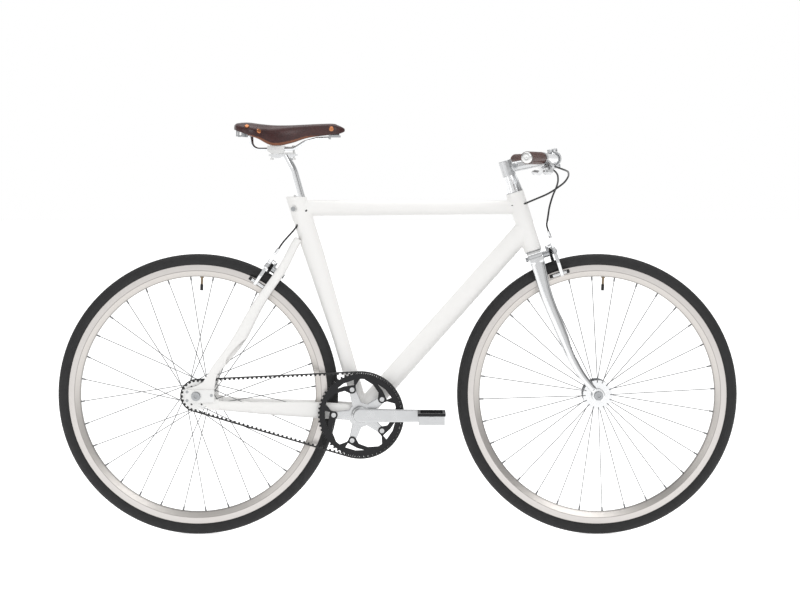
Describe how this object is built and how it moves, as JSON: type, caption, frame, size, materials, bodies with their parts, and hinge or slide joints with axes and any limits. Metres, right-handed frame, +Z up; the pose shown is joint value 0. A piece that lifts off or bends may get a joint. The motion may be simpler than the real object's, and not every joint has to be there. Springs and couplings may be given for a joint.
{
  "type": "bicycle",
  "caption": "Belt-driven fixed gear city bicycle with a white frame, polished fork, bar and cranks, side-pull rim brakes, and a brown leather saddle and grips.",
  "frame": {"origin": "On the ground midway between the two axles, in the bicycle's middle plane.", "axes": "+X points forward along the length, +Y to the rider's left along the width, +Z up."},
  "size_m": [1.6649, 0.6134, 1.0091],
  "materials": {
    "painted_frame": "matte white paint",
    "polished_alloy": "polished",
    "silver_alloy": "satin",
    "black_alloy": "anodised black",
    "steel": "brushed",
    "chrome": "polished",
    "tyre_rubber": "matte",
    "belt_rubber": "matte",
    "tube_rubber": "matte",
    "brown_leather": "satin",
    "copper": "polished",
    "black_plastic": "matte"
  },
  "bodies": {
    "frame": {"head_tube": "painted_frame", "top_tube": "painted_frame", "down_tube": "painted_frame", "seat_tube": "painted_frame", "bottom_bracket_shell": "painted_frame", "chainstays": "painted_frame", "seatstays": "painted_frame", "seatstay_bridge": "painted_frame", "rear_dropouts": "painted_frame", "axle_plates": "silver_alloy", "frame_screws": "steel", "headset_bearings": "steel", "bottom_bracket_cups": "black_alloy", "rear_axle": "steel", "rear_brake_bolt": "steel", "rear_brake_cable": "black_plastic", "drive_belt": "belt_rubber"},
    "seat_assembly": {"seatpost": "polished_alloy", "saddle_clamp": "polished_alloy", "saddle_rails": "chrome", "saddle_cover": "brown_leather", "saddle_rivets": "copper", "saddle_plates": "steel"},
    "steering_assembly": {"fork_crown": "polished_alloy", "fork_blades": "polished_alloy", "headset_cone": "polished_alloy", "stem": "polished_alloy", "stem_bolts": "steel", "handlebar": "polished_alloy", "grips": "brown_leather", "bar_end_plugs": "silver_alloy", "lever_clamps": "polished_alloy", "front_axle": "steel", "front_brake_bolt": "steel", "front_brake_cable": "black_plastic"},
    "right_lever": {"right_brake_lever": "polished_alloy"},
    "left_lever": {"left_brake_lever": "polished_alloy"},
    "front_left_arm": {"front_brake_left_arm": "polished_alloy"},
    "front_right_arm": {"front_brake_right_arm": "polished_alloy"},
    "rear_left_arm": {"rear_brake_left_arm": "polished_alloy"},
    "rear_right_arm": {"rear_brake_right_arm": "polished_alloy"},
    "rear_wheel": {"rear_hub": "polished_alloy", "rear_spokes": "steel", "rear_rim": "silver_alloy", "rear_tyre": "tyre_rubber", "rear_inner_tube": "tube_rubber", "rear_sprocket": "silver_alloy"},
    "front_wheel": {"front_hub": "polished_alloy", "front_spokes": "steel", "front_rim": "silver_alloy", "front_tyre": "tyre_rubber", "front_inner_tube": "tube_rubber"},
    "crankset": {"crank_spindle": "steel", "right_crank": "polished_alloy", "left_crank": "polished_alloy", "front_sprocket": "black_alloy", "sprocket_bolts": "steel", "pedal_axles": "steel"},
    "pedal_right": {"right_pedal": "silver_alloy"},
    "pedal_left": {"left_pedal": "silver_alloy"}
  },
  "joints": [
    {"name": "rear_wheel_spin", "type": "hinge", "parent": "frame", "child": "rear_wheel", "pos_m": [-0.489, 0, 0.3435], "axis": [0, 1, 0], "continuous": true},
    {"name": "crank_spin", "type": "hinge", "parent": "frame", "child": "crankset", "pos_m": [-0.09036, 0, 0.2959], "axis": [0, 1, 0], "continuous": true, "deforming": ["drive_belt"]},
    {"name": "right_pedal_spin", "type": "hinge", "parent": "crankset", "child": "pedal_right", "pos_m": [0.08214, -0.13, 0.2959], "axis": [0, 1, 0], "continuous": true},
    {"name": "left_pedal_spin", "type": "hinge", "parent": "crankset", "child": "pedal_left", "pos_m": [-0.26286, 0.13, 0.2959], "axis": [0, 1, 0], "continuous": true},
    {"name": "steering", "type": "hinge", "parent": "frame", "child": "steering_assembly", "pos_m": [0.30982, 0, 0.76641], "axis": [-0.3014, 0, 0.9535], "range_deg": [-60, 60], "deforming": ["rear_brake_cable"]},
    {"name": "front_wheel_spin", "type": "hinge", "parent": "steering_assembly", "child": "front_wheel", "pos_m": [0.489, 0, 0.3435], "axis": [0, 1, 0], "continuous": true},
    {"name": "right_lever_squeeze", "type": "hinge", "parent": "steering_assembly", "child": "right_lever", "pos_m": [0.36242, -0.1712, 0.90092], "axis": [-0.6762, 0.2067, -0.7071], "range_deg": [0, 14], "stiffness_Nm_per_rad": 1.5, "springref_deg": -17.19},
    {"name": "left_lever_squeeze", "type": "hinge", "parent": "steering_assembly", "child": "left_lever", "pos_m": [0.36242, 0.1712, 0.90092], "axis": [0.6762, 0.2067, 0.7071], "range_deg": [0, 14], "stiffness_Nm_per_rad": 1.5, "springref_deg": -17.19},
    {"name": "front_left_arm_swing", "type": "hinge", "parent": "steering_assembly", "child": "front_left_arm", "pos_m": [0.37585, 0, 0.69054], "axis": [-0.9535, 0, -0.3014], "range_deg": [0, 1.28]},
    {"name": "front_right_arm_swing", "type": "hinge", "parent": "steering_assembly", "child": "front_right_arm", "pos_m": [0.38074, 0.027, 0.70362], "axis": [0.9535, 0, 0.3014], "range_deg": [0, 1.08]},
    {"name": "rear_left_arm_swing", "type": "hinge", "parent": "frame", "child": "rear_left_arm", "pos_m": [-0.31229, 0, 0.6525], "axis": [-0.8293, 0, 0.5588], "range_deg": [0, 1.5]},
    {"name": "rear_right_arm_swing", "type": "hinge", "parent": "frame", "child": "rear_right_arm", "pos_m": [-0.31327, 0.027, 0.66642], "axis": [0.8293, 0, -0.5588], "range_deg": [0, 1.23]},
    {"name": "seat_height", "type": "slide", "parent": "frame", "child": "seat_assembly", "axis": [-0.2723, 0, 0.9622], "range_m": [-0.05, 0.04]}
  ],
  "couplings": [
    {"joint": "crank_spin", "follows": "rear_wheel_spin", "ratio": 0.36667},
    {"joint": "front_left_arm_swing", "follows": "left_lever_squeeze", "ratio": 0.0877},
    {"joint": "front_right_arm_swing", "follows": "left_lever_squeeze", "ratio": 0.0733},
    {"joint": "rear_left_arm_swing", "follows": "right_lever_squeeze", "ratio": 0.10344},
    {"joint": "rear_right_arm_swing", "follows": "right_lever_squeeze", "ratio": 0.08398}
  ]
}
